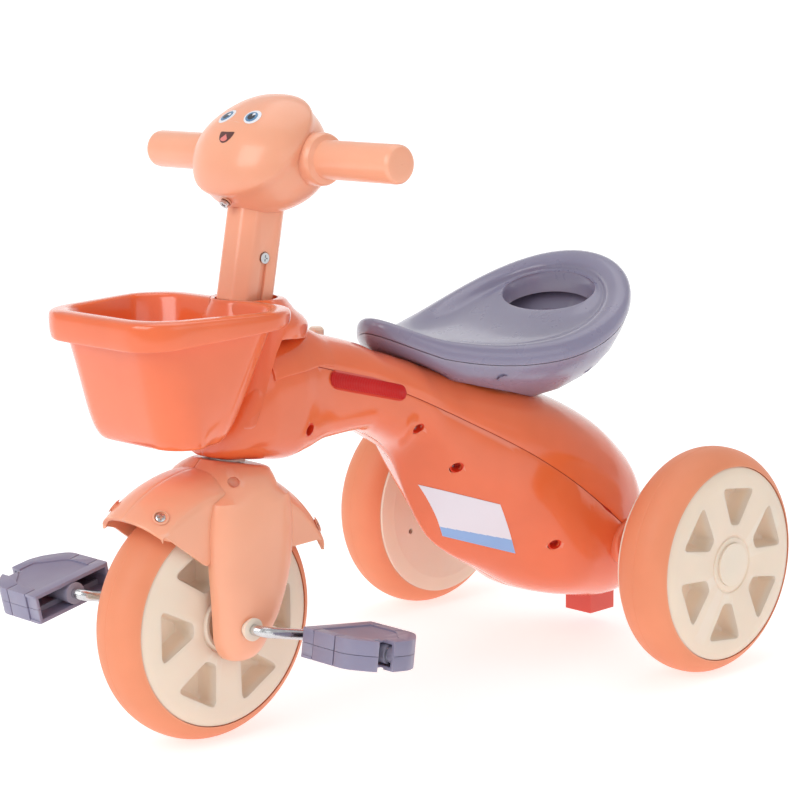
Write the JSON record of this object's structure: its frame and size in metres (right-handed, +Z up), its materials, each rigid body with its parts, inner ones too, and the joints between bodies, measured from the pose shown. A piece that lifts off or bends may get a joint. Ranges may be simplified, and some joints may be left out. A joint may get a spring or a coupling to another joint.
{
  "type": "children's tricycle",
  "caption": "Toddler's pedal tricycle with a front basket, saddle seat with a carry slot, moulded fork and handlebar, and pedals on the front wheel's crank.",
  "frame": {"origin": "on the floor under the middle of the tricycle's bounding box", "axes": "+X forward, +Y to the rider's left, +Z up"},
  "size_m": [0.5696, 0.37, 0.4636],
  "materials": {
    "orange_plastic": "glossy moulded plastic",
    "deep_orange_plastic": "glossy moulded plastic",
    "peach_plastic": "satin moulded plastic",
    "tyre_plastic": "satin moulded plastic",
    "cream_plastic": "satin moulded plastic",
    "lilac_plastic": "satin moulded plastic",
    "red_reflector": "clear red, ribbed behind",
    "label_film": "blank printed film",
    "eye_print": "printed sticker",
    "mouth_print": "printed sticker",
    "zinc_steel": "bright zinc plate"
  },
  "bodies": {
    "body": {"body_left_shell": "orange_plastic", "body_right_shell": "orange_plastic", "body_top_cover": "orange_plastic", "rear_axle_housing": "orange_plastic", "tail_foot": "deep_orange_plastic", "rear_axle": "zinc_steel", "rear_push_nuts": "zinc_steel", "rear_spacers": "zinc_steel", "neck_bush_lower": "cream_plastic", "neck_bush_upper": "cream_plastic", "neck_plug": "cream_plastic", "body_screws": "zinc_steel", "basket": "orange_plastic", "seat_top": "lilac_plastic", "seat_base": "lilac_plastic", "seat_screws": "zinc_steel", "reflector_left": "red_reflector", "reflector_right": "red_reflector", "label": "label_film"},
    "steering": {"fork_left": "peach_plastic", "fork_right": "peach_plastic", "fork_screws": "zinc_steel", "fork_bushes": "cream_plastic", "steering_tube": "zinc_steel", "stem": "peach_plastic", "stem_screw": "zinc_steel", "head_front_shell": "peach_plastic", "head_rear_shell": "peach_plastic", "head_screw": "zinc_steel", "grip_left": "peach_plastic", "grip_right": "peach_plastic", "face_eyes": "eye_print", "face_mouth": "mouth_print"},
    "front_wheel": {"front_tyre": "tyre_plastic", "front_hub_left": "cream_plastic", "front_hub_right": "cream_plastic", "crank_axle": "zinc_steel", "pedal_push_nuts": "zinc_steel"},
    "left_pedal": {"left_pedal_upper": "lilac_plastic", "left_pedal_lower": "lilac_plastic", "left_pedal_sleeve": "lilac_plastic"},
    "right_pedal": {"right_pedal_upper": "lilac_plastic", "right_pedal_lower": "lilac_plastic", "right_pedal_sleeve": "lilac_plastic"},
    "left_rear_wheel": {"left_rear_tyre": "tyre_plastic", "left_rear_hub_outer": "cream_plastic", "left_rear_hub_inner": "cream_plastic", "left_rear_cap": "cream_plastic"},
    "right_rear_wheel": {"right_rear_tyre": "tyre_plastic", "right_rear_hub_outer": "cream_plastic", "right_rear_hub_inner": "cream_plastic", "right_rear_cap": "cream_plastic"}
  },
  "joints": [
    {"name": "steering_turn", "type": "hinge", "parent": "body", "child": "steering", "pos_m": [0.18819, 0, 0.09], "axis": [-0.1908, 0, 0.9816], "range_deg": [-40, 40]},
    {"name": "front_wheel_spin", "type": "hinge", "parent": "steering", "child": "front_wheel", "pos_m": [0.18819, 0, 0.09], "axis": [0, 1, 0], "continuous": true},
    {"name": "left_pedal_spin", "type": "hinge", "parent": "front_wheel", "child": "left_pedal", "pos_m": [0.12706, 0.1, 0.07476], "axis": [0, 1, 0], "continuous": true},
    {"name": "right_pedal_spin", "type": "hinge", "parent": "front_wheel", "child": "right_pedal", "pos_m": [0.24932, -0.1, 0.10524], "axis": [0, 1, 0], "continuous": true},
    {"name": "left_rear_wheel_spin", "type": "hinge", "parent": "body", "child": "left_rear_wheel", "pos_m": [-0.19481, 0.157, 0.09], "axis": [0, 1, 0], "continuous": true},
    {"name": "right_rear_wheel_spin", "type": "hinge", "parent": "body", "child": "right_rear_wheel", "pos_m": [-0.19481, -0.157, 0.09], "axis": [0, 1, 0], "continuous": true}
  ]
}
